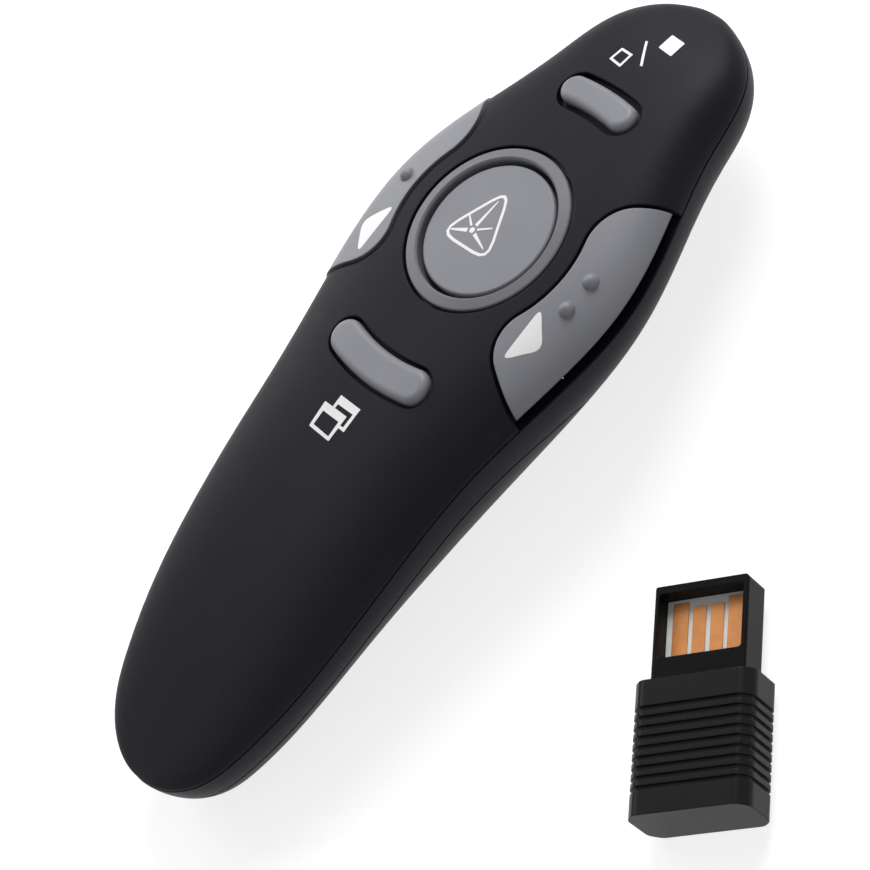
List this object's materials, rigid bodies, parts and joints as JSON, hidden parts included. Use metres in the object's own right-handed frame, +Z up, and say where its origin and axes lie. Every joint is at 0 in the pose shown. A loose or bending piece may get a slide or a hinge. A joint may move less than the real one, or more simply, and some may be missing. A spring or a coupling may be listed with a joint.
{
  "type": "wireless presentation clicker",
  "caption": "Waisted hand-held presentation clicker with a ringed laser key, crescent side keys, a power slider and a sliding battery cover, with its ribbed USB receiver.",
  "frame": {"origin": "on the flat of the belly that the clicker rests on, near mid-length on the centre plane", "axes": "+X to the user's right, +Y towards the laser nose, +Z up out of the keys"},
  "size_m": [0.0923, 0.1171, 0.0231],
  "materials": {
    "soft_black": "matte soft-touch coat",
    "key_grey": "satin moulded rubber",
    "ring_grey": "satin",
    "carrier_black": "matte",
    "slider_black": "matte",
    "board_green": "solder mask",
    "switch_steel": "plated",
    "chip_black": "moulded epoxy",
    "laser_brass": "turned",
    "laser_lens": "clear",
    "cell_case": "plain sleeve",
    "contact_nickel": "nickel plated",
    "screw_steel": "zinc plated",
    "gloss_black": "polished",
    "tongue_white": "moulded",
    "contact_gold": "gold plated"
  },
  "bodies": {
    "housing": {"top_shell": "soft_black", "lower_shell": "soft_black", "ring_trim": "ring_grey", "main_board": "board_green", "tact_switches": "switch_steel", "radio_chip": "chip_black", "crystal_can": "switch_steel", "laser_module": "laser_brass", "laser_window": "laser_lens", "slide_switch": "switch_steel", "left_cell": "cell_case", "right_cell": "cell_case", "front_contacts": "contact_nickel", "rear_contact": "contact_nickel", "case_screws": "screw_steel", "board_screws": "screw_steel"},
    "laser_key_body": {"laser_key": "key_grey", "laser_key_carrier": "carrier_black", "laser_key_plunger": "carrier_black"},
    "previous_key_body": {"previous_key": "key_grey", "previous_key_carrier": "carrier_black", "previous_key_plunger": "carrier_black"},
    "next_key_body": {"next_key": "key_grey", "next_key_carrier": "carrier_black", "next_key_plunger": "carrier_black"},
    "screen_key_body": {"screen_key": "key_grey", "screen_key_carrier": "carrier_black", "screen_key_plunger": "carrier_black"},
    "window_key_body": {"window_key": "key_grey", "window_key_carrier": "carrier_black", "window_key_plunger": "carrier_black"},
    "power_slider_body": {"power_slider": "slider_black"},
    "battery_cover_body": {"battery_cover": "soft_black"},
    "receiver_body": {"receiver_housing": "gloss_black", "receiver_plug": "gloss_black", "receiver_tongue": "tongue_white", "receiver_contacts": "contact_gold", "receiver_board": "board_green"}
  },
  "joints": [
    {"name": "laser_key_press", "type": "slide", "parent": "housing", "child": "laser_key_body", "axis": [0, 0, -1], "range_m": [0, 0.00035], "stiffness_N_per_m": 1500, "springref_m": -0.0001},
    {"name": "previous_key_press", "type": "slide", "parent": "housing", "child": "previous_key_body", "axis": [0, 0, -1], "range_m": [0, 0.00035], "stiffness_N_per_m": 1500, "springref_m": -0.0001},
    {"name": "next_key_press", "type": "slide", "parent": "housing", "child": "next_key_body", "axis": [0, 0, -1], "range_m": [0, 0.00035], "stiffness_N_per_m": 1500, "springref_m": -0.0001},
    {"name": "screen_key_press", "type": "slide", "parent": "housing", "child": "screen_key_body", "axis": [0, 0, -1], "range_m": [0, 0.00035], "stiffness_N_per_m": 1500, "springref_m": -0.0001},
    {"name": "window_key_press", "type": "slide", "parent": "housing", "child": "window_key_body", "axis": [0, 0, -1], "range_m": [0, 0.00035], "stiffness_N_per_m": 1500, "springref_m": -0.0001},
    {"name": "power_slide", "type": "slide", "parent": "housing", "child": "power_slider_body", "axis": [0, 1, 0], "range_m": [0, 0.0024]},
    {"name": "battery_cover_slide", "type": "slide", "parent": "housing", "child": "battery_cover_body", "axis": [0, -0.9798, -0.2], "range_m": [0, 0.01]},
    {"name": "receiver_lift", "type": "slide", "parent": "housing", "child": "receiver_body", "axis": [0, 0, 1], "range_m": [0, 0.02]}
  ]
}
